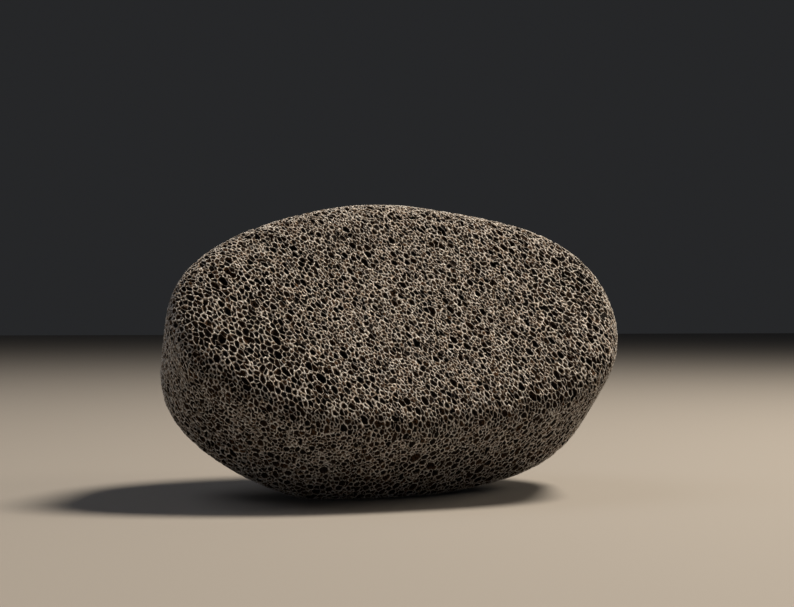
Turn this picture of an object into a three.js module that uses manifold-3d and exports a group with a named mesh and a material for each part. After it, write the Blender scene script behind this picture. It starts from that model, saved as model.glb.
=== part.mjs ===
// A pumice stone for smoothing skin: one pebble of foamed volcanic glass, cut to a thick oval
// block and tumbled until every edge is round. It stands on one of its long edges, leaning
// back, on a small flat that is worn there.
//
// Millimetres. +X runs along the stone, -Y is the side that its broad face leans towards the
// viewer, +Z is up. The origin is on the surface that the stone stands on, under the middle
// of its bounding box.

import * as THREE from 'three';
import { mergeVertices } from 'three/addons/utils/BufferGeometryUtils.js';
import Module from 'manifold-3d';

// The plain oval pebble, before its worn places and its standing flat.
const LENGTH = 96.3;
const WIDTH = 59;
const THICKNESS = 40.3;

// How square its outline and its edges are: 2 is an ellipse, a higher number is squarer. Its
// broad face is sawn flat and keeps a plain edge. Its back is rounder.
const OUTLINE_SQUARENESS = 2.2;
const FRONT_EDGE_SQUARENESS = 8;
const BACK_EDGE_SQUARENESS = 4;

// The outline is an egg: the +X end is wider than the middle by this share of the width.
const EGG = 0.165;

// Where tumbling left the outline fuller or flatter: its bearing from the +X end, how far
// round the outline it spreads, and its share of the radius, which is negative for a flat.
const WORN_PLACES = [
  { bearing: 0, spread: 26, swell: -0.014 },
  { bearing: 52, spread: 24, swell: -0.113 },
  { bearing: 232, spread: 22, swell: 0.1 },
  { bearing: 308, spread: 24, swell: -0.084 },
];

// How the stone stands: how far its face leans back from upright, and how deep the edge that
// it stands on is worn flat.
const LEAN = 36;
const FLAT_DEPTH = 1.6;

// How many facets there are round the outline, and from the middle of the face over the edges
// to the middle of the back.
const FACETS_ROUND = 96;
const FACETS_OVER = 28;

const STONE_COLOUR = '#5b5045';

// Distance from the middle of the stone to its outline along a bearing in radians, seen
// square on to the face.
function outlineRadius(bearing) {
  const along = Math.abs(Math.cos(bearing)) / (LENGTH / 2);
  const across = Math.abs(Math.sin(bearing)) / (WIDTH / 2);
  const n = OUTLINE_SQUARENESS;
  const oval = (along ** n + across ** n) ** (-1 / n);

  const towardsEnd = (oval * Math.cos(bearing)) / (LENGTH / 2);
  const eggAcross = across / (1 + EGG * towardsEnd);
  const egg = (along ** n + eggAcross ** n) ** (-1 / n);

  return egg * (1 + wornSwell(bearing));
}

// How much fuller or flatter the worn places make the outline along a bearing in radians.
function wornSwell(bearing) {
  let swell = 0;
  for (const place of WORN_PLACES) {
    const turn = bearing - THREE.MathUtils.degToRad(place.bearing);
    const away = Math.atan2(Math.sin(turn), Math.cos(turn));
    const spread = THREE.MathUtils.degToRad(place.spread);
    swell += place.swell * Math.exp(-0.5 * (away / spread) ** 2);
  }
  return swell;
}

// The whole pebble, upright about its own middle: X along it, Z across it, and -Y out of its
// face. It is a ball whose poles are the middles of the face and of the back, drawn out to the
// outline and pressed flat, so that most facets lie where the edges are round.
function pebbleGeometry() {
  const ball = new THREE.SphereGeometry(1, FACETS_ROUND, FACETS_OVER);
  const position = ball.getAttribute('position');
  for (let i = 0; i < position.count; i += 1) {
    const [x, y, z] = [position.getX(i), position.getY(i), position.getZ(i)];
    const bearing = Math.atan2(z, x);
    const power = 2 / (y < 0 ? FRONT_EDGE_SQUARENESS : BACK_EDGE_SQUARENESS);
    const sideways = outlineRadius(bearing) * Math.hypot(x, z) ** power;
    const outwards = (THICKNESS / 2) * Math.sign(y) * Math.abs(y) ** power;
    position.setXYZ(i, sideways * Math.cos(bearing), outwards, sideways * Math.sin(bearing));
  }
  return ball;
}

// Leans the pebble back and sinks it, so that the part below Z = 0 is what wears away.
function standPebble(geometry) {
  geometry.rotateX(-THREE.MathUtils.degToRad(LEAN));
  geometry.computeBoundingBox();
  const box = geometry.boundingBox;
  const middleX = (box.min.x + box.max.x) / 2;
  const middleY = (box.min.y + box.max.y) / 2;
  geometry.translate(-middleX, -middleY, -box.min.z - FLAT_DEPTH);
}

// A closed solid for joining and cutting, from a geometry whose faces share their corners.
function toSolid(wasm, geometry) {
  const bare = geometry.clone();
  bare.deleteAttribute('normal');
  bare.deleteAttribute('uv');
  const merged = mergeVertices(bare, 1e-4);
  return new wasm.Manifold(new wasm.Mesh({
    numProp: 3,
    vertProperties: new Float32Array(merged.getAttribute('position').array),
    triVerts: new Uint32Array(merged.getIndex().array),
  }));
}

// The other way round: a solid's corners and triangles as a geometry.
function toGeometry(solid) {
  const mesh = solid.getMesh();
  const geometry = new THREE.BufferGeometry();
  geometry.setAttribute('position', new THREE.BufferAttribute(mesh.vertProperties, 3));
  geometry.setIndex(new THREE.BufferAttribute(mesh.triVerts, 1));
  geometry.computeVertexNormals();
  return geometry;
}

// The pebble with everything below the surface that it stands on worn away.
function stoneGeometry(wasm) {
  const pebble = pebbleGeometry();
  standPebble(pebble);
  const worn = new THREE.BoxGeometry(2 * LENGTH, 2 * LENGTH, LENGTH);
  worn.translate(0, 0, -LENGTH / 2);
  return toGeometry(toSolid(wasm, pebble).subtract(toSolid(wasm, worn)));
}

const wasm = await Module();
wasm.setup();

const pumiceStone = new THREE.Mesh(
  stoneGeometry(wasm),
  new THREE.MeshStandardMaterial({ color: STONE_COLOUR, roughness: 0.95, metalness: 0 }),
);
pumiceStone.name = 'pumice_stone';

const stone = new THREE.Group();
stone.add(pumiceStone);

export default stone;
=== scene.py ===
import math

import bmesh
import bpy
import numpy as np
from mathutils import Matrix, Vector, noise
from mathutils.bvhtree import BVHTree


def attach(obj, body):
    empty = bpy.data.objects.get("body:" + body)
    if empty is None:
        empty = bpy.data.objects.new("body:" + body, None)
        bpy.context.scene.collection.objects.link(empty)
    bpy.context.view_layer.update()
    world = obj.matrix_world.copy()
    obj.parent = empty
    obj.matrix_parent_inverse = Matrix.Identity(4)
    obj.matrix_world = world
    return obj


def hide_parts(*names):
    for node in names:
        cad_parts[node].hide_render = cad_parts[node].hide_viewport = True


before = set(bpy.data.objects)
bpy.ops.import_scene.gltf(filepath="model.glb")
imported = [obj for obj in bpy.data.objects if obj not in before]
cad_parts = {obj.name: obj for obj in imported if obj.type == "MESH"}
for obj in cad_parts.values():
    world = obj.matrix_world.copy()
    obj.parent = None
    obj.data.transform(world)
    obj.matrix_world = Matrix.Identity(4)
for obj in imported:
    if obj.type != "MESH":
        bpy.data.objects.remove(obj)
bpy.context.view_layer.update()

# =========================================================================================
# The block. A pumice stone is sawn out of lava that froze while gas was frothing it, and it
# is tumbled until its edges are round. Its outer surface is only the place where tumbling
# stopped: the froth goes right through it.
# =========================================================================================

mm = 0.001
# Points nearer than this are the same point.
SAME_POINT = 0.001 * mm

block = bmesh.new()
block.from_mesh(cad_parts["pumice_stone"].data)
bmesh.ops.remove_doubles(block, verts=block.verts, dist=SAME_POINT)
bmesh.ops.recalc_face_normals(block, faces=block.faces)
block.verts.index_update()
block_surface = BVHTree.FromBMesh(block)
block_points = np.array([v.co for v in block.verts])
block_outwards = np.array([v.normal for v in block.verts])
block_facets = np.array([[v.index for v in f.verts] for f in block.faces])
block_middle = (block_points.min(0) + block_points.max(0)) / 2
block.free()

# =========================================================================================
# The froth. Bubbles of every size are packed through the lava, the largest first and smaller
# ones in what room is left. Where the surface cuts a bubble, the bubble is an open cell.
# =========================================================================================

SEED = 1783
# Radius of the bubbles in mm, largest first, and how many places are tried for each size.
# Each bubble's own radius differs from it by up to SIZE_SPREAD of it.
BUBBLE_SIZES = (
    (1.15, 60),
    (0.95, 900),
    (0.78, 4500),
    (0.62, 12000),
    (0.50, 40000),
    (0.40, 100000),
    (0.32, 75000),
)
SIZE_SPREAD = 0.10
# The largest gas bubbles on the broad face: along the stone, height and radius, in mm. Their
# middles lie LARGE_BUBBLE_DEPTH of a radius under the surface, which is looked for from
# WELL_IN_FRONT of the stone.
LARGE_BUBBLES = (
    (-35.0, 48.9, 1.25),
    (-36.6, 44.6, 1.25),
    (-19.7, 25.8, 1.35),
    (-21.7, 28.0, 1.10),
    (-37.7, 33.1, 1.15),
)
LARGE_BUBBLE_DEPTH = 0.2
WELL_IN_FRONT = 200 * mm
# The middles of two bubbles stay apart by this share of their radii together: less than 1,
# because soft bubbles press into each other.
SOFTNESS = 0.80
# A bubble that the surface only just cuts leaves no cell: the radius of the smallest opening.
SMALLEST_OPENING = 0.26 * mm
# To find its neighbours quickly, each bubble is noted in all the boxes of this size that are
# within so many of its radii, which is enough for later bubbles up to a tenth larger.
SEARCH_BOX = 0.8 * mm
SEARCH_REACH = 2.1

# The lava still crept as it froze, which pressed the bubbles flat along one line. The froth
# is worked out with round bubbles and then pressed to FLATNESS of its length along that line.
FLAT_WAY = np.array((0.866, 0.295, 0.405))
FLATNESS = 0.58
# Gas gathered towards the side that froze last, so the froth is coarser there: the direction,
# how many times their plain size the bubbles are at the fine and the coarse end, and the
# shares of the way between which they grow.
COARSE_WAY = np.array((0.1, 0.62, -0.78))
FINEST, COARSEST = 1.18, 1.95
COARSE_FROM, COARSE_TO = 0.20, 0.75
# A flat bubble cut along its flat side is a wide cell, so at the two ends of the block smaller
# bubbles fill the same room, and more of them are tried.
SMALLER_AT_ENDS = 0.45
MORE_AT_ENDS = 1.2
# Bubbles with a radius above STREAK_ABOVE mm keep to thin streaks, which lie the way that the
# bubbles are pressed. Those above STREAK_USUAL mm hold to the middle of a streak, the more so
# the larger they are, and some stray.
STREAK = 2.4 * mm
STREAK_FLATNESS = 0.22
STREAK_ABOVE, STREAK_USUAL = 0.5, 0.7
STREAK_HOLD, STREAK_STRAY = 0.6, 0.5

random = np.random.default_rng(SEED)

FLAT_WAY /= np.linalg.norm(FLAT_WAY)
along_flat_way = np.outer(FLAT_WAY, FLAT_WAY)
make_round = np.eye(3) + (1 / FLATNESS - 1) * along_flat_way
press_flat = np.linalg.inv(make_round)
to_streaks = (np.eye(3) + (FLATNESS / STREAK_FLATNESS - 1) * along_flat_way) / STREAK

round_points = block_points @ make_round
round_outwards = block_outwards @ press_flat
round_outwards /= np.linalg.norm(round_outwards, axis=1)[:, None]
coarse_way = press_flat @ COARSE_WAY
coarse_low, coarse_high = (round_points @ coarse_way).min(), (round_points @ coarse_way).max()


def bubble_places(count, reach):
    """Random places near the surface: the point on it, the way outwards there, and the depth."""
    corners = round_points[block_facets]
    side_1, side_2 = corners[:, 1] - corners[:, 0], corners[:, 2] - corners[:, 0]
    area = np.linalg.norm(np.cross(side_1, side_2), axis=1)
    facet_outwards = round_outwards[block_facets].mean(1)
    chance = area * (1 + MORE_AT_ENDS * np.abs(facet_outwards @ FLAT_WAY))
    chosen = random.choice(len(area), count, p=chance / chance.sum())
    share = random.dirichlet((1, 1, 1), count)[:, :, None]
    on_surface = (corners[chosen] * share).sum(1)
    outwards = (round_outwards[block_facets[chosen]] * share).sum(1)
    outwards /= np.linalg.norm(outwards, axis=1)[:, None]
    return on_surface, outwards, random.uniform(-reach, reach, count)


def bubble_swell(place, outwards):
    """How much larger than its plain size a bubble grows at a place."""
    share = (float(place @ coarse_way) - coarse_low) / (coarse_high - coarse_low)
    share = min(max((share - COARSE_FROM) / (COARSE_TO - COARSE_FROM), 0), 1)
    swell = FINEST + (COARSEST - FINEST) * share * share * (3 - 2 * share)
    return swell * (1 - SMALLER_AT_ENDS * abs(float(outwards @ FLAT_WAY)))


def try_bubble(surface_place, outwards, depth, radius):
    """Adds a bubble to the froth, unless it would press too far into one that is there."""
    x, y, z = (surface_place - outwards * depth).tolist()
    box = (int(x // SEARCH_BOX), int(y // SEARCH_BOX), int(z // SEARCH_BOX))
    for other_x, other_y, other_z, other_radius in taken.get(box, ()):
        gap = SOFTNESS * (radius + other_radius)
        if (x - other_x) ** 2 + (y - other_y) ** 2 + (z - other_z) ** 2 < gap * gap:
            return
    froth.append((*surface_place, *outwards, depth, radius))
    reach = SOFTNESS * SEARCH_REACH * radius
    span = [range(int((c - reach) // SEARCH_BOX), int((c + reach) // SEARCH_BOX) + 1) for c in (x, y, z)]
    for a in span[0]:
        for b in span[1]:
            for c in span[2]:
                taken.setdefault((a, b, c), []).append((x, y, z, radius))


def is_out_of_streak(place, radius):
    """Whether a bubble of this radius in mm is too large for the streak that its place is in."""
    if radius <= STREAK_ABOVE:
        return False
    middle_of_streak = noise.noise(place @ to_streaks)
    return middle_of_streak < (radius - STREAK_USUAL) * STREAK_HOLD - random.random() * STREAK_STRAY


froth = []
taken = {}
for along, height, radius in LARGE_BUBBLES:
    in_front = Vector((along * mm, -WELL_IN_FRONT, height * mm))
    hit, way_out, _, _ = block_surface.ray_cast(in_front, Vector((0, 1, 0)))
    way_out = np.array(way_out) @ press_flat
    way_out /= np.linalg.norm(way_out)
    try_bubble(np.array(hit) @ make_round, way_out, LARGE_BUBBLE_DEPTH * radius * mm, radius * mm)
for radius, tries in BUBBLE_SIZES:
    places, ways_out, depths = bubble_places(tries, radius * mm)
    radii = radius * mm * random.uniform(1 - SIZE_SPREAD, 1 + SIZE_SPREAD, tries)
    for place, way_out, place_depth, own_radius in zip(places, ways_out, depths.tolist(), radii.tolist()):
        if not is_out_of_streak(place, radius):
            swell = bubble_swell(place, way_out)
            try_bubble(place, way_out, place_depth * swell, own_radius * swell)

froth = np.array(froth)
smallest = SMALLEST_OPENING * (1 - SMALLER_AT_ENDS * np.abs(froth[:, 3:6] @ FLAT_WAY))
froth = froth[froth[:, 7] ** 2 - froth[:, 6] ** 2 > smallest ** 2]
cell_places, cell_outwards = froth[:, :3], froth[:, 3:6]
cell_depth, cell_radius = froth[:, 6], froth[:, 7]
# The square of each opening's radius.
opening = cell_radius ** 2 - cell_depth ** 2


def started_at(ring, first):
    """The same ring with this member first."""
    i = ring.index(first)
    return ring[i:] + ring[:i]


# The cells are joined to their neighbours in triangles, which are then turned until each wall
# stands where its two bubbles press on each other equally.
hull = bmesh.new()
for direction in cell_places - block_middle @ make_round:
    hull.verts.new(direction / np.linalg.norm(direction))
bmesh.ops.convex_hull(hull, input=hull.verts)
hull.verts.index_update()
bmesh.ops.recalc_face_normals(hull, faces=hull.faces)
neighbours = [[v.index for v in f.verts] for f in hull.faces]
neighbours = sorted(started_at(three, min(three)) for three in neighbours)
hull.free()

net = bmesh.new()
knots = [net.verts.new(place) for place in cell_places]
net.verts.index_update()
for three in neighbours:
    net.faces.new([knots[i] for i in three])
net.normal_update()
power = opening.tolist()
# Areas and lifts this small are only rounding.
NO_AREA, NO_LIFT = 1e-12, 1e-13


def wall_is_wrong(edge):
    """Whether the wall across this edge parts two bubbles that don't touch.

    Each place is lifted by the square of how far away it is, less its bubble's power. The wall
    is wrong if the place beyond the edge then lies below the plane through the other three.
    """
    near, far = edge.link_loops
    a, b = near.vert, near.link_loop_next.vert
    c, d = near.link_loop_prev.vert, far.link_loop_prev.vert
    normal = near.face.normal + far.face.normal
    along = (b.co - a.co).normalized()
    across = normal.cross(along).normalized()
    bx = (b.co - a.co).dot(along)
    cx, cy = (c.co - a.co).dot(along), (c.co - a.co).dot(across)
    dx, dy = (d.co - a.co).dot(along), (d.co - a.co).dot(across)
    if cx * dy - cy * dx >= -NO_AREA or (cx - bx) * dy - cy * (dx - bx) <= NO_AREA:
        return False
    lift_a = -power[a.index]
    lift_b = bx * bx - power[b.index] - lift_a
    lift_c = cx * cx + cy * cy - power[c.index] - lift_a
    lift_d = dx * dx + dy * dy - power[d.index] - lift_a
    plane_c = lift_c - lift_b * cx / bx
    return lift_d - lift_b * dx / bx - plane_c * dy / cy < -NO_LIFT


unsettled = list(net.edges)
while unsettled:
    around = {}
    for edge in unsettled:
        if not edge.is_valid or not wall_is_wrong(edge):
            continue
        nearby = [e for f in edge.link_faces for e in f.edges if e is not edge]
        turned = bmesh.utils.edge_rotate(edge, True)
        if turned is None:
            continue
        for f in turned.link_faces:
            f.normal_update()
        around.update(dict.fromkeys(nearby + [turned]))
    unsettled = [e for e in around if e.is_valid]
triples = np.array([[v.index for v in f.verts] for f in net.faces])
net.free()

# =========================================================================================
# The walls. Three walls of glass meet at each junction, as in any froth. Tumbling grinds their
# tops level, and breaks some of them out, which makes two cells one.
# =========================================================================================

# A junction keeps at least this share of the way to each of its three cells.
LEAST_SHARE = 0.10
# How far sideways a junction may run for each mm that it goes down.
STEEPEST = 0.7
# How far below the block's surface the tops of the junctions are on average, in mm, the share
# of junctions that are broken, and how much more of those is gone, in mm.
GROUND_OFF = 0.04
BROKEN_JUNCTIONS = 0.10
BROKEN_OFF = (0.12, 0.5)
# Chips out of the edge: place, how far each reaches and how deep it is, in mm.
CHIPS = (((39.3, -7.0, 48.8), 1.8, 1.0),)
# The ground surface isn't quite even: how far it dips, and how far apart the dips are.
UNEVEN = 0.15 * mm
UNEVEN_EVERY = 7 * mm
# Walls broken out for each cell, how many times larger one of the two cells may be, and the
# most sides that the two may have together.
BROKEN_WALLS = 0.12
ALIKE = 2
MOST_SIDES = 15
# Keeps a division from being by zero.
NEVER_ZERO = 1e-12

# A junction is the place that its three bubbles a, b and c press on equally.
at_a, at_b, at_c = cell_places[triples].transpose(1, 0, 2)
power_a, power_b, power_c = opening[triples].T
ab, ac = at_b - at_a, at_c - at_a
ab_ab, ab_ac, ac_ac = (ab * ab).sum(1), (ab * ac).sum(1), (ac * ac).sum(1)
towards_b, towards_c = (ab_ab - power_b + power_a) / 2, (ac_ac - power_c + power_a) / 2
area_squared = ab_ab * ac_ac - ab_ac ** 2
share_b = (towards_b * ac_ac - towards_c * ab_ac) / area_squared
share_c = (towards_c * ab_ab - towards_b * ab_ac) / area_squared
shares = np.clip(np.stack([1 - share_b - share_c, share_b, share_c], 1), LEAST_SHARE, 1)
shares /= shares.sum(1)[:, None]
junctions = (cell_places[triples] * shares[:, :, None]).sum(1)
junction_outwards = cell_outwards[triples].sum(1)
junction_outwards /= np.linalg.norm(junction_outwards, axis=1)[:, None]

# The junction goes on down into the stone where the same three bubbles meet.
middles = cell_places - cell_outwards * cell_depth[:, None]
middle_a, middle_b, middle_c = middles[triples].transpose(1, 0, 2)
inwards = np.cross(middle_b - middle_a, middle_c - middle_a)
inwards *= -np.sign((inwards * junction_outwards).sum(1))[:, None]
inwards /= np.abs((inwards * junction_outwards).sum(1))[:, None] + NEVER_ZERO
sideways = inwards + junction_outwards
slope = np.linalg.norm(sideways, axis=1)
sideways *= np.minimum(1, STEEPEST / np.maximum(slope, NEVER_ZERO))[:, None]
inwards = (sideways - junction_outwards) @ press_flat
junction_outwards = junction_outwards @ make_round
junction_outwards /= np.linalg.norm(junction_outwards, axis=1)[:, None]
inwards /= np.abs((inwards * junction_outwards).sum(1))[:, None]

on_block = np.array([block_surface.find_nearest(Vector(p))[0] for p in junctions @ press_flat])
ground_off = random.exponential(GROUND_OFF * mm, len(triples))
broken = random.random(len(triples)) < BROKEN_JUNCTIONS
ground_off[broken] += random.uniform(*BROKEN_OFF, broken.sum()) * mm
ground_off += [UNEVEN * (0.5 + 0.5 * noise.noise(Vector(p) / UNEVEN_EVERY)) for p in on_block]
for chip_place, chip_reach, chip_deep in CHIPS:
    away = np.linalg.norm(on_block - np.array(chip_place) * mm, axis=1) / (chip_reach * mm)
    ground_off += chip_deep * mm * np.clip(1 - away ** 2, 0, 1)
wall_tops = on_block - junction_outwards * ground_off[:, None]

# Round each cell in order: the junctions that its walls end at.
beyond = {}
for t, (a, b, c) in enumerate(triples.tolist()):
    beyond[a, b] = (t, c)
    beyond[b, c] = (t, a)
    beyond[c, a] = (t, b)
first_neighbour = {}
for a, b in beyond:
    first_neighbour.setdefault(a, b)
rings = {}
for a, first in first_neighbour.items():
    t, b = beyond[a, first]
    ring = [t]
    while b != first:
        t, b = beyond[a, b]
        ring.append(t)
    rings[a] = ring


def joined_ring(ring_a, ring_b, s, t):
    """The ring round two cells once the wall from junction s to t is gone, or None."""
    if not {s, t} <= set(ring_a) & set(ring_b):
        return None
    if started_at(ring_a, s)[-1] != t:
        s, t = t, s
    joined = started_at(ring_a, s) + started_at(ring_b, t)[1:-1]
    return joined if len(set(joined)) == len(joined) else None


walls = [(a, b) for a, b in beyond if a < b]
for w in random.permutation(len(walls))[:int(BROKEN_WALLS * len(rings))]:
    a, b = walls[w]
    if a not in rings or b not in rings or len(rings[a]) + len(rings[b]) > MOST_SIDES:
        continue
    if not 1 / ALIKE < cell_radius[a] / cell_radius[b] < ALIKE:
        continue
    joined = joined_ring(rings[a], rings[b], beyond[a, b][0], beyond[b, a][0])
    if joined:
        rings[a] = joined
        del rings[b]

stone_mesh = bpy.data.meshes.new("pumice_foam")
stone_mesh.from_pydata(wall_tops.tolist(), [], list(rings.values()), shade_flat=False)
stone_mesh.validate()

# =========================================================================================
# The cells. Each is a bubble cut open: a worn lip that slopes in from the tops of its walls,
# then a throat that goes down to where the bubble closes. A bubble cut near its top is a deep
# dark hole, and one cut near its bottom is a shallow dish.
# =========================================================================================

# The largest cells have a floor and the next largest a lip, until the stone has its most
# triangles. All the rest are plain.
MOST_TRIANGLES = 198000
WITH_FLOOR = 500
# How deep a cell is, in its own radii. Plain cells are PLAIN_DEEP, and a share of the others
# is shallow.
LEAST_DEEP, MOST_DEEP = 0.8, 1.8
PLAIN_DEEP = 1.15
SHALLOW_CELLS = 0.10
SHALLOW_DEEP = (0.25, 0.6)
# Some walls are thicker than others, each by chance and most of all in streaks. The streaks
# are like those of the large bubbles, read OTHER_STREAKS further along the same noise.
WALL_SPREAD = 0.30
STREAK_SPREAD = 1.1
OTHER_STREAKS = 50.0
THINNEST, THICKEST = 0.5, 2.4
# A flat bubble cut along its flat side also shows more of the walls round it.
THICKER_AT_ENDS = 0.5
# The walls of the cells below this size are thinner, in step with their size.
THINNER_BELOW = 0.62 * mm
THINNEST_SMALL = 0.6

cells = np.array(list(rings))
sides = np.array([len(ring) for ring in rings.values()])
size = np.array([
    np.linalg.norm(wall_tops[ring] - wall_tops[ring].mean(0), axis=1).mean()
    for ring in rings.values()
])
deep = np.clip(cell_radius[cells] + cell_depth[cells], LEAST_DEEP * size, MOST_DEEP * size)
shallow = random.random(len(cells)) < SHALLOW_CELLS
deep[shallow] = size[shallow] * random.uniform(*SHALLOW_DEEP, shallow.sum())

# 1: straight down to a point, 2: a lip and then down to a point, 3: a lip, a throat, a floor.
# A plain cell has a triangle for each side, and a lip adds two for each side. A throat adds
# two more, and its floor has two triangles fewer than it has sides.
PLAIN, LIPPED, FLOORED = 1, 2, 3
shape = np.full(len(cells), PLAIN)
triangles = sides.sum()
for i in np.argsort(-size):
    kind = FLOORED if (shape == FLOORED).sum() < WITH_FLOOR else LIPPED
    extra = 4 * sides[i] - 2 if kind == FLOORED else 2 * sides[i]
    if triangles + extra > MOST_TRIANGLES:
        break
    shape[i] = kind
    triangles += extra
deep[shape == PLAIN] = PLAIN_DEEP * size[shape == PLAIN]

tone = random.normal(0, 1, len(cells))
streak = np.array([noise.noise(place @ to_streaks + OTHER_STREAKS) for place in cell_places[cells]])
thickness = np.exp(WALL_SPREAD * random.normal(0, 1, len(cells)) - STREAK_SPREAD * streak)
thickness *= 1 + THICKER_AT_ENDS * np.abs(cell_outwards[cells] @ FLAT_WAY)
thickness *= np.clip(size / THINNER_BELOW, THINNEST_SMALL, 1)
thickness = np.clip(thickness, THINNEST, THICKEST)

for name, number, values in (
    ("cell_shape", "INT", shape),
    ("cell_size", "FLOAT", size),
    ("cell_deep", "FLOAT", deep),
    ("cell_tone", "FLOAT", tone),
    ("wall_thickness", "FLOAT", thickness),
):
    layer = stone_mesh.attributes.new(name, number, "FACE")
    layer.data.foreach_set("value", values)
way_down = stone_mesh.attributes.new("inwards", "FLOAT_VECTOR", "POINT")
way_down.data.foreach_set("vector", inwards.ravel())

stone = bpy.data.objects.new("pumice_foam", stone_mesh)
bpy.context.scene.collection.objects.link(stone)


def add(tree, kind, settings=None, **links):
    """A node with its settings. Each link is a socket or value, for an input by name or number."""
    node = tree.nodes.new(kind)
    for key, value in (settings or {}).items():
        setattr(node, key, value)
    for key, value in links.items():
        numbered = key[:2] == "in" and key[2:].isdigit()
        socket = node.inputs[int(key[2:]) if numbered else key.replace("_", " ")]
        if isinstance(value, bpy.types.NodeSocket):
            tree.links.new(value, socket)
        else:
            socket.default_value = value
    return node


# A lip slopes in by Lip Width and down by Lip Drop, its edge is chipped, and it leaves at least
# Narrowest Lip of the cell's width. A throat narrows to Throat Taper and goes down by Throat
# Share of the cell's depth. Smallest Hole and Throat Reach set how soon the inside turns to painted shade.
CELL_INPUTS = {
    "Lip Width": 0.12 * mm,
    "Lip Drop": 0.11 * mm,
    "Lip Chipping": 0.05 * mm,
    "Narrowest Lip": 0.45,
    "Smallest Hole": 0.36 * mm,
    "Throat Taper": 0.80,
    "Throat Share": 0.75,
    "Throat Reach": 0.20,
}
CHIP_SEED = 7
METRES_TO_MM = 1 / mm

holes = bpy.data.node_groups.new("open_cells", "GeometryNodeTree")
holes.interface.new_socket("Geometry", in_out="OUTPUT", socket_type="NodeSocketGeometry")
holes.interface.new_socket("Geometry", in_out="INPUT", socket_type="NodeSocketGeometry")
identifiers = {}
for name in CELL_INPUTS:
    socket = holes.interface.new_socket(name, in_out="INPUT", socket_type="NodeSocketFloat")
    identifiers[name] = socket.identifier
socket = holes.interface.new_socket("Material", in_out="INPUT", socket_type="NodeSocketMaterial")
identifiers["Material"] = socket.identifier

given = add(holes, "NodeGroupInput")
cell_shape = add(holes, "GeometryNodeInputNamedAttribute", {"data_type": "INT"}, Name="cell_shape")
cell_size = add(holes, "GeometryNodeInputNamedAttribute", {"data_type": "FLOAT"}, Name="cell_size")
cell_deep = add(holes, "GeometryNodeInputNamedAttribute", {"data_type": "FLOAT"}, Name="cell_deep")
thick = add(holes, "GeometryNodeInputNamedAttribute", {"data_type": "FLOAT"}, Name="wall_thickness")
way_in = add(holes, "GeometryNodeInputNamedAttribute", {"data_type": "FLOAT_VECTOR"}, Name="inwards")


def go_down(geometry, shapes, drop, scale, from_wall):
    """A ring of glass further down in the cells of these shapes: the result, and its bottoms."""
    least = add(holes, "FunctionNodeCompare", {"data_type": "INT", "operation": "GREATER_EQUAL"},
                in2=cell_shape.outputs[0], in3=shapes[0])
    most = add(holes, "FunctionNodeCompare", {"data_type": "INT", "operation": "LESS_EQUAL"},
               in2=cell_shape.outputs[0], in3=shapes[-1])
    chosen = add(holes, "FunctionNodeBooleanMath", {"operation": "AND"},
                 in0=least.outputs[0], in1=most.outputs[0])
    ring = add(holes, "GeometryNodeExtrudeMesh", {"mode": "FACES"}, Mesh=geometry,
               Selection=chosen.outputs[0], Offset_Scale=0.0, Individual=True)
    done = add(holes, "GeometryNodeStoreNamedAttribute", {"data_type": "INT", "domain": "FACE"},
               Geometry=ring.outputs["Mesh"], Selection=ring.outputs["Side"], Name="cell_shape", Value=0)
    way = add(holes, "ShaderNodeVectorMath", {"operation": "SCALE"}, in0=way_in.outputs[0], Scale=drop)
    lower = add(holes, "GeometryNodeSetPosition", Geometry=done.outputs["Geometry"],
                Selection=ring.outputs["Top"], Offset=way.outputs[0])
    narrow = add(holes, "GeometryNodeScaleElements", {"domain": "FACE"},
                 Geometry=lower.outputs["Geometry"], Selection=ring.outputs["Top"], Scale=scale)
    marked = add(holes, "GeometryNodeStoreNamedAttribute", {"data_type": "FLOAT", "domain": "POINT"},
                 Geometry=narrow.outputs["Geometry"], Selection=ring.outputs["Top"], Name="from_wall",
                 Value=from_wall)
    return marked.outputs["Geometry"], ring.outputs["Top"]


# from_wall is how far in from the middle of the wall the glass is, in mm, on a wall of the
# usual thickness. It tells the material where the wall ends and the painted shade of the inside begins.
lip_width = add(holes, "ShaderNodeMath", {"operation": "MULTIPLY"},
                in0=given.outputs["Lip Width"], in1=thick.outputs[0])
lip_part = add(holes, "ShaderNodeMath", {"operation": "DIVIDE"},
               in0=lip_width.outputs[0], in1=cell_size.outputs[0])
lip_left = add(holes, "ShaderNodeMath", {"operation": "SUBTRACT"}, in0=1.0, in1=lip_part.outputs[0])
lip_scale = add(holes, "ShaderNodeMath", {"operation": "MAXIMUM"},
                in0=lip_left.outputs[0], in1=given.outputs["Narrowest Lip"])
lip_from_wall = add(holes, "ShaderNodeMath", {"operation": "MULTIPLY"},
                    in0=given.outputs["Lip Width"], in1=METRES_TO_MM)
hole_size = add(holes, "ShaderNodeMath", {"operation": "MAXIMUM"},
                in0=cell_size.outputs[0], in1=given.outputs["Smallest Hole"])
hole_part = add(holes, "ShaderNodeMath", {"operation": "DIVIDE"},
                in0=hole_size.outputs[0], in1=thick.outputs[0])
end_from_wall = add(holes, "ShaderNodeMath", {"operation": "MULTIPLY"},
                    in0=hole_part.outputs[0], in1=METRES_TO_MM)
throat_from_wall = add(holes, "ShaderNodeMath", {"operation": "MULTIPLY_ADD"},
                       in0=end_from_wall.outputs[0], in1=given.outputs["Throat Reach"],
                       in2=lip_from_wall.outputs[0])
throat_deep = add(holes, "ShaderNodeMath", {"operation": "MULTIPLY"},
                  in0=cell_deep.outputs[0], in1=given.outputs["Throat Share"])

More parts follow.
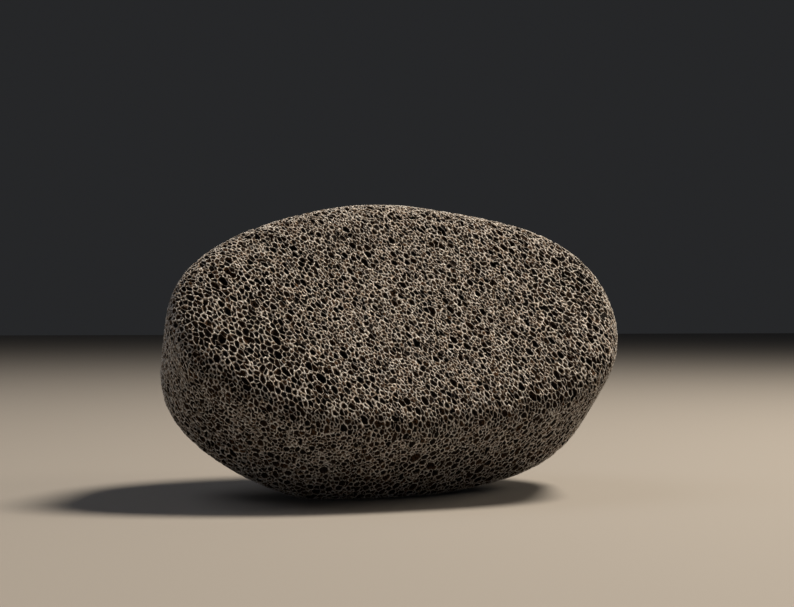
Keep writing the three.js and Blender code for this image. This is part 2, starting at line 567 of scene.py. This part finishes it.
tops = add(holes, "GeometryNodeStoreNamedAttribute", {"data_type": "FLOAT", "domain": "POINT"},
           Geometry=given.outputs["Geometry"], Name="from_wall", Value=0.0)
lips, lip_faces = go_down(tops.outputs["Geometry"], (LIPPED, FLOORED), given.outputs["Lip Drop"],
                          lip_scale.outputs[0], lip_from_wall.outputs[0])
chip = add(holes, "FunctionNodeRandomValue", {"data_type": "FLOAT_VECTOR"},
           in0=(-1.0, -1.0, -1.0), in1=(1.0, 1.0, 1.0), Seed=CHIP_SEED)
chip_move = add(holes, "ShaderNodeVectorMath", {"operation": "SCALE"},
                in0=chip.outputs[0], Scale=given.outputs["Lip Chipping"])
chipped = add(holes, "GeometryNodeSetPosition", Geometry=lips, Selection=lip_faces,
              Offset=chip_move.outputs[0])
throats, _ = go_down(chipped.outputs["Geometry"], (FLOORED,), throat_deep.outputs[0],
                     given.outputs["Throat Taper"], throat_from_wall.outputs[0])
ends, end_faces = go_down(throats, (PLAIN, LIPPED), cell_deep.outputs[0], 0.0,
                          end_from_wall.outputs[0])
closed = add(holes, "GeometryNodeMergeByDistance", Geometry=ends, Selection=end_faces,
             Distance=SAME_POINT)
single = add(holes, "GeometryNodeRealizeInstances", Geometry=closed.outputs["Geometry"])
glazed = add(holes, "GeometryNodeSetMaterial", Geometry=single.outputs["Geometry"],
             Material=given.outputs["Material"])
add(holes, "NodeGroupOutput", Geometry=glazed.outputs["Geometry"])


def srgb(code):
    """The linear colour of a hex code, with an alpha of 1."""
    channels = [int(code[i:i + 2], 16) / 255 for i in (1, 3, 5)]
    return tuple(c / 12.92 if c <= 0.04045 else ((c + 0.055) / 1.055) ** 2.4 for c in channels) + (1.0,)


# Volcanic glass, ground dull. Its crests are pale, partly where they are worn and partly as a
# painted highlight, its walls go from warm to cool grey with dust between, and the inside of a
# cell is painted nearly black as shade, with brown skins of glass over it. The glass has an IOR
# of 1.5, but pits in it swallow most of its sheen.
GLASS_IOR = 1.5
GLASS_ROUGHNESS = 0.85
GLASS_SHEEN = 0.2
WARM_GLASS = "#ccb196"
COOL_GLASS = "#acaaa8"
DUSTY_GLASS = "#9a8c7c"
# The pale crest: partly real wear, partly a painted highlight along the tops of the walls.
WORN_AND_HIGHLIT_CREST = "#f1f0ee"
STAIN = "#857767"
NO_STAIN = "#ffffff"
# Painted shade: the near-black colour of the inside of each cell.
PAINTED_SHADE_INSIDE = "#0e0602"
INSIDE_SKIN = "#62442a"
# Where the worn crest, partly a painted highlight, fades into the wall, and where the wall
# fades into the painted shade of the inside, in mm from the middle of the wall.
CREST_FROM, CREST_TO = 0.03, 0.12
PAINTED_SHADE_FROM, PAINTED_SHADE_TO = 0.125, 0.145
# How far the edge of a wall wanders, in mm, and the size of its nicks.
RAGGED = 0.12
RAGGED_SIZE = 0.33 * mm
# The size of the stains, of the warm and cool patches, of the patches of dust and of the
# skins, and the part of each noise over which one turns into the other.
STAIN_SIZE = 0.6 * mm
STAIN_FROM, STAIN_TO = 0.36, 0.62
WARMTH_SIZE = 1.6 * mm
DUST_SIZE = 9 * mm
PATCH_FROM, PATCH_TO = 0.35, 0.65
SKIN_SIZE = 0.55 * mm
SKIN_FROM, SKIN_TO = 0.03, 0.12
# The tone of a cell with no skins, and of one whose skins are whole.
BARE_TONE, SKIN_TONE = -0.5, 2.2
# The grit of broken glass is about 0.1 mm. It is drawn coarser, so that it shows.
GRIT_SIZE = 0.52 * mm
GRIT_HIGH = 0.6 * mm
# The nicks, the stains and the grit lie the way that the froth is pressed.
GRAIN_FLATNESS = 0.33

pumice = bpy.data.materials.new("ground_volcanic_glass")
pumice.use_nodes = True
glass = pumice.node_tree
glass.nodes.clear()
where = add(glass, "ShaderNodeTexCoord")
grain_turn = Vector((1, 0, 0)).rotation_difference(Vector(FLAT_WAY)).to_euler()
grain = add(glass, "ShaderNodeMapping", {"vector_type": "TEXTURE"},
            Vector=where.outputs["Object"], Rotation=grain_turn, Scale=(GRAIN_FLATNESS, 1.0, 1.0))
from_wall = add(glass, "ShaderNodeAttribute", {"attribute_name": "from_wall"})
cell_tone = add(glass, "ShaderNodeAttribute", {"attribute_name": "cell_tone"})

nicks = add(glass, "ShaderNodeTexNoise", Vector=grain.outputs[0], Scale=1 / RAGGED_SIZE, Detail=1.0)
wander = add(glass, "ShaderNodeMath", {"operation": "MULTIPLY_ADD"},
             in0=nicks.outputs["Fac"], in1=RAGGED, in2=-RAGGED / 2)
far_in = add(glass, "ShaderNodeMath", {"operation": "ADD"},
             in0=from_wall.outputs["Fac"], in1=wander.outputs[0])

warmth = add(glass, "ShaderNodeTexNoise", Vector=where.outputs["Object"], Scale=1 / WARMTH_SIZE, Detail=1.0)
cool_part = add(glass, "ShaderNodeMapRange",
                Value=warmth.outputs["Fac"], From_Min=PATCH_FROM, From_Max=PATCH_TO)
two_glasses = add(glass, "ShaderNodeMix", {"data_type": "RGBA"},
                  in0=cool_part.outputs[0], in6=srgb(WARM_GLASS), in7=srgb(COOL_GLASS))
dust = add(glass, "ShaderNodeTexNoise", Vector=where.outputs["Object"], Scale=1 / DUST_SIZE)
dust_part = add(glass, "ShaderNodeMapRange",
                Value=dust.outputs["Fac"], From_Min=PATCH_FROM, From_Max=PATCH_TO)
dusty_wall = add(glass, "ShaderNodeMix", {"data_type": "RGBA"},
                 in0=dust_part.outputs[0], in6=two_glasses.outputs[2], in7=srgb(DUSTY_GLASS))
# The crest is painted paler than the wall: part wear, part painted highlight.
wall_part = add(glass, "ShaderNodeMapRange", Value=far_in.outputs[0], From_Min=CREST_FROM, From_Max=CREST_TO)
worn_and_highlit_wall = add(glass, "ShaderNodeMix", {"data_type": "RGBA"},
                in0=wall_part.outputs[0], in6=srgb(WORN_AND_HIGHLIT_CREST), in7=dusty_wall.outputs[2])
stain = add(glass, "ShaderNodeTexNoise", Vector=grain.outputs[0], Scale=1 / STAIN_SIZE, Detail=1.0)
clean_part = add(glass, "ShaderNodeMapRange",
                 Value=stain.outputs["Fac"], From_Min=STAIN_FROM, From_Max=STAIN_TO)
stain_tone = add(glass, "ShaderNodeMix", {"data_type": "RGBA"},
                 in0=clean_part.outputs[0], in6=srgb(STAIN), in7=srgb(NO_STAIN))
stained_wall = add(glass, "ShaderNodeMix", {"data_type": "RGBA", "blend_type": "MULTIPLY"},
                   in0=1.0, in6=worn_and_highlit_wall.outputs[2], in7=stain_tone.outputs[2])

skins = add(glass, "ShaderNodeTexVoronoi", {"feature": "DISTANCE_TO_EDGE"},
            Vector=where.outputs["Object"], Scale=1 / SKIN_SIZE)
skin_part = add(glass, "ShaderNodeMapRange", Value=skins.outputs["Distance"],
                From_Min=SKIN_FROM, From_Max=SKIN_TO, To_Min=1.0, To_Max=0.0)
skin_tone = add(glass, "ShaderNodeMapRange",
                Value=cell_tone.outputs["Fac"], From_Min=BARE_TONE, From_Max=SKIN_TONE)
skin_here = add(glass, "ShaderNodeMath", {"operation": "MULTIPLY"},
                in0=skin_part.outputs[0], in1=skin_tone.outputs[0])
# The inside of each cell is painted shade, with brown skins of glass over it.
shaded_inside = add(glass, "ShaderNodeMix", {"data_type": "RGBA"},
             in0=skin_here.outputs[0], in6=srgb(PAINTED_SHADE_INSIDE), in7=srgb(INSIDE_SKIN))
# Past the wall's edge the colour turns to the painted shade of the inside.
painted_shade_part = add(glass, "ShaderNodeMapRange", Value=far_in.outputs[0], From_Min=PAINTED_SHADE_FROM, From_Max=PAINTED_SHADE_TO)
glass_colour = add(glass, "ShaderNodeMix", {"data_type": "RGBA"},
                   in0=painted_shade_part.outputs[0], in6=stained_wall.outputs[2], in7=shaded_inside.outputs[2])

grit = add(glass, "ShaderNodeTexNoise", Vector=grain.outputs[0], Scale=1 / GRIT_SIZE, Detail=1.0)
bump = add(glass, "ShaderNodeBump", Height=grit.outputs["Fac"], Distance=GRIT_HIGH, Strength=1.0)
shader = add(glass, "ShaderNodeBsdfPrincipled", Base_Color=glass_colour.outputs[2],
             Roughness=GLASS_ROUGHNESS, IOR=GLASS_IOR, Specular_IOR_Level=GLASS_SHEEN,
             Normal=bump.outputs[0])
add(glass, "ShaderNodeOutputMaterial", Surface=shader.outputs[0])

modifier = stone.modifiers.new("open_cells", "NODES")
modifier.node_group = holes
for name, value in CELL_INPUTS.items():
    modifier[identifiers[name]] = value
modifier[identifiers["Material"]] = pumice
evaluated = stone.evaluated_get(bpy.context.evaluated_depsgraph_get())
stone.data = bpy.data.meshes.new_from_object(evaluated)
stone.data.name = "pumice_foam"
stone.modifiers.clear()
stone.data.shade_smooth()

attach(stone, "root")
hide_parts("pumice_stone")

# =========================================================================================
# The camera. It looks at the stone's broad face from near the floor, a little from the left,
# with a slightly long lens.
# =========================================================================================

YAW = math.radians(14.61)
TILT_UP = math.radians(0.71)
DISTANCE = 282.6 * mm
ASIDE = -1.29 * mm
AIM = Vector((0.94, 1.62, 36.76)) * mm
LENS_LENGTH = 60
SENSOR_WIDTH = 36

right = Vector((math.cos(YAW), -math.sin(YAW), 0))
forward = Vector((math.sin(YAW), math.cos(YAW), 0))
up = Vector((0, 0, 1))

lens = bpy.data.cameras.new("camera")
lens.lens = LENS_LENGTH
lens.sensor_width = SENSOR_WIDTH
camera = bpy.data.objects.new("camera", lens)
bpy.context.scene.collection.objects.link(camera)
camera.location = AIM - right * ASIDE - forward * DISTANCE
camera.rotation_euler = (math.pi / 2 + TILT_UP, 0, -YAW)
bpy.context.scene.camera = camera

# =========================================================================================
# The floor and the light. A plain pale table, a warm lamp high on the right, a large softbox
# overhead on the left that fills the shadow, and two weaker lamps: a low one in front for the
# underside and a warm one on the right for that end.
# =========================================================================================

FLOOR_REACH = 3.0
FLOOR_COLOUR = "#9f9b96"
FLOOR_ROUGHNESS = 0.9
ROOM_COLOUR = "#b9bcc2"
ROOM_LIGHT = 0.040
WARM_LIGHT = "#fff0dc"
OVERHEAD_LIGHT = "#eeeff6"
FRONT_LIGHT = "#ecedf2"
# Where the key lamp hangs: its turn to the right from straight up, how much of its way goes
# behind the stone, and how far off it is, in metres.
KEY_TURN = math.radians(29)
KEY_BEHIND = 0.02
KEY_AWAY = 0.80
# All the lamps point at this height above the table.
LAMP_AIM = 20 * mm

table = bmesh.new()
bmesh.ops.create_grid(table, x_segments=1, y_segments=1, size=FLOOR_REACH)
floor_mesh = bpy.data.meshes.new("floor")
table.to_mesh(floor_mesh)
table.free()
floor = bpy.data.objects.new("floor", floor_mesh)
bpy.context.scene.collection.objects.link(floor)
table_top = bpy.data.materials.new("pale_table")
table_top.use_nodes = True
table_shader = table_top.node_tree.nodes["Principled BSDF"].inputs
table_shader["Base Color"].default_value = srgb(FLOOR_COLOUR)
table_shader["Roughness"].default_value = FLOOR_ROUGHNESS
floor.data.materials.append(table_top)

bpy.context.scene.view_settings.view_transform = "Standard"
room = bpy.data.worlds.new("studio")
bpy.context.scene.world = room
room.use_nodes = True
room_light = room.node_tree.nodes["Background"].inputs
room_light["Color"].default_value = srgb(ROOM_COLOUR)
room_light["Strength"].default_value = ROOM_LIGHT


def hang_lamp(lamp_name, place, colour, watts, width):
    """A round lamp that points at the stone, from a place and with a width in metres."""
    lamp = bpy.data.lights.new(lamp_name, "AREA")
    lamp.shape = "DISK"
    lamp.size = width
    lamp.energy = watts
    lamp.color = srgb(colour)[:3]
    holder = bpy.data.objects.new(lamp_name, lamp)
    bpy.context.scene.collection.objects.link(holder)
    holder.location = place
    holder.rotation_euler = (up * LAMP_AIM - place).to_track_quat("-Z", "Y").to_euler()


key_way = right * math.sin(KEY_TURN) + up * math.cos(KEY_TURN) + forward * KEY_BEHIND
hang_lamp("key", key_way * KEY_AWAY, WARM_LIGHT, watts=8.5, width=0.24)
hang_lamp("overhead", up * 0.80 - right * 0.50, OVERHEAD_LIGHT, watts=1.15, width=0.70)
hang_lamp("front", up * 0.13 - right * 0.30 - forward * 0.80, FRONT_LIGHT, watts=0.20, width=0.24)
hang_lamp("side", up * 0.38 + right * 0.66, WARM_LIGHT, watts=1.10, width=0.28)
